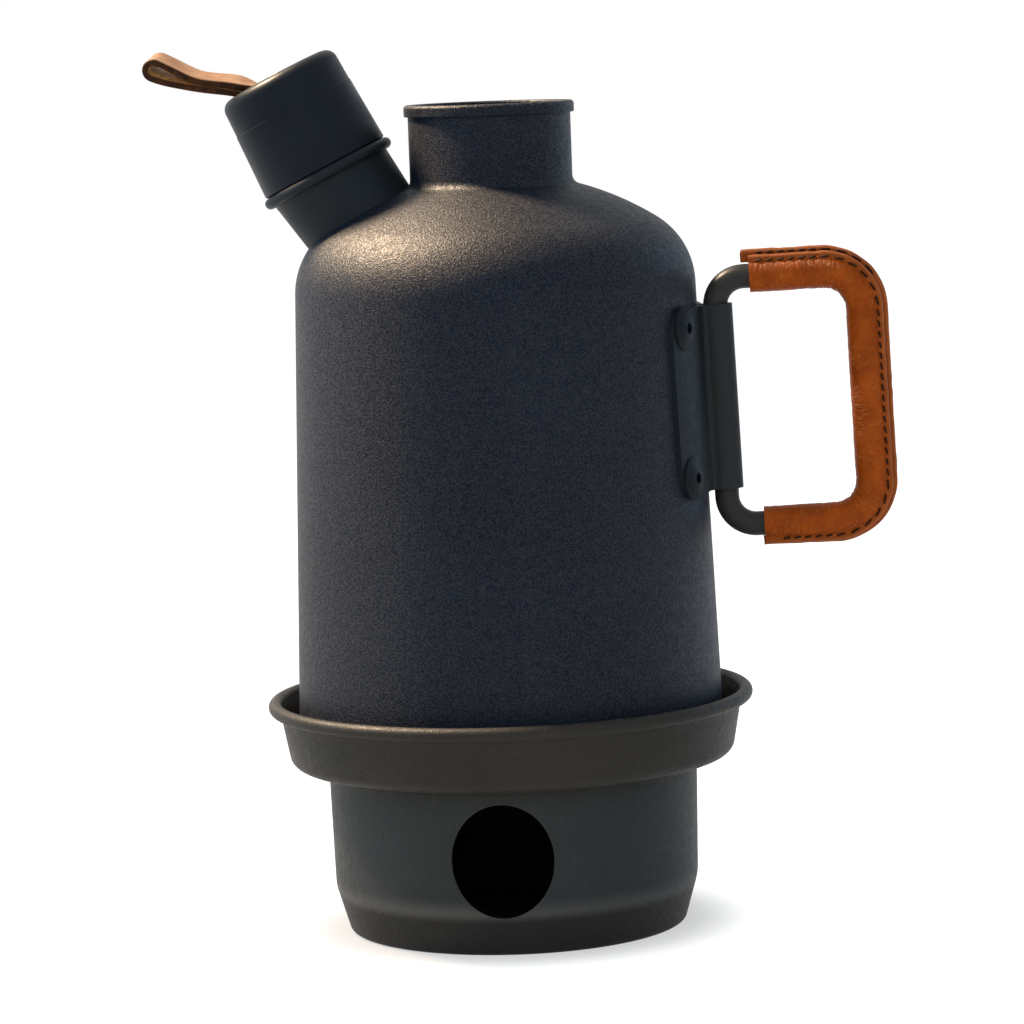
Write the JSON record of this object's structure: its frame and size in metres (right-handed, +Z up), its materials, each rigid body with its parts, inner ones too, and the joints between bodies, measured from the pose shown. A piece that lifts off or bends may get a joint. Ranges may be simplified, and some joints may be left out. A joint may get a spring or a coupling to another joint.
{
  "type": "storm kettle",
  "caption": "Storm kettle: a water jacket round a conical flue, with a stoppered spout and a leather-gripped swing handle, standing in the drip tray of a fire bowl with an air hole.",
  "frame": {"origin": "centre of the fire bowl's flat underside", "axes": "+Z up along the chimney's axis, +X towards the handle, -X towards the spout, -Y towards the air hole"},
  "size_m": [0.2683, 0.1772, 0.3229],
  "materials": {
    "base_sheet": "hard anodised, matte",
    "body_sheet": "hard anodised, blasted",
    "spout_tube": "anodised, satin",
    "cap": "satin",
    "plug": "matte",
    "strap_leather": "natural, dark edges",
    "nickel_rivet": "plated, worn",
    "bracket_sheet": "anodised, satin",
    "mandrel": "plain",
    "rod": "semi-gloss",
    "grip_leather": "waxed",
    "thread": "waxed thread"
  },
  "bodies": {
    "fire_base": {"fire_bowl": "base_sheet", "drip_tray": "base_sheet"},
    "kettle": {"outer_shell": "body_sheet", "chimney": "body_sheet", "spout": "spout_tube", "handle_bracket": "bracket_sheet", "rivet_upper_front": "bracket_sheet", "rivet_upper_rear": "bracket_sheet", "rivet_lower_front": "bracket_sheet", "rivet_lower_rear": "bracket_sheet", "rivet_mandrels": "mandrel"},
    "stopper": {"stopper_cap": "cap", "stopper_plug": "plug", "strap_rivet": "nickel_rivet", "rivet_washer": "nickel_rivet"},
    "strap": {"pull_strap": "strap_leather"},
    "handle": {"handle_rod": "rod", "grip_leather": "grip_leather", "grip_thread": "thread"}
  },
  "joints": [
    {"name": "kettle_lift", "type": "slide", "parent": "fire_base", "child": "kettle", "axis": [0, 0, 1], "range_m": [0, 0.15]},
    {"name": "stopper_pull", "type": "slide", "parent": "kettle", "child": "stopper", "axis": [-0.4384, 0, 0.8988], "range_m": [0, 0.06]},
    {"name": "strap_swivel", "type": "hinge", "parent": "stopper", "child": "strap", "pos_m": [-0.07472, 0, 0.30882], "axis": [-0.4384, 0, 0.8988], "continuous": true},
    {"name": "handle_swing", "type": "hinge", "parent": "kettle", "child": "handle", "pos_m": [0.0805, 0, 0.1895], "axis": [-0.0315, 0, 0.9995], "range_deg": [-90, 90]}
  ]
}
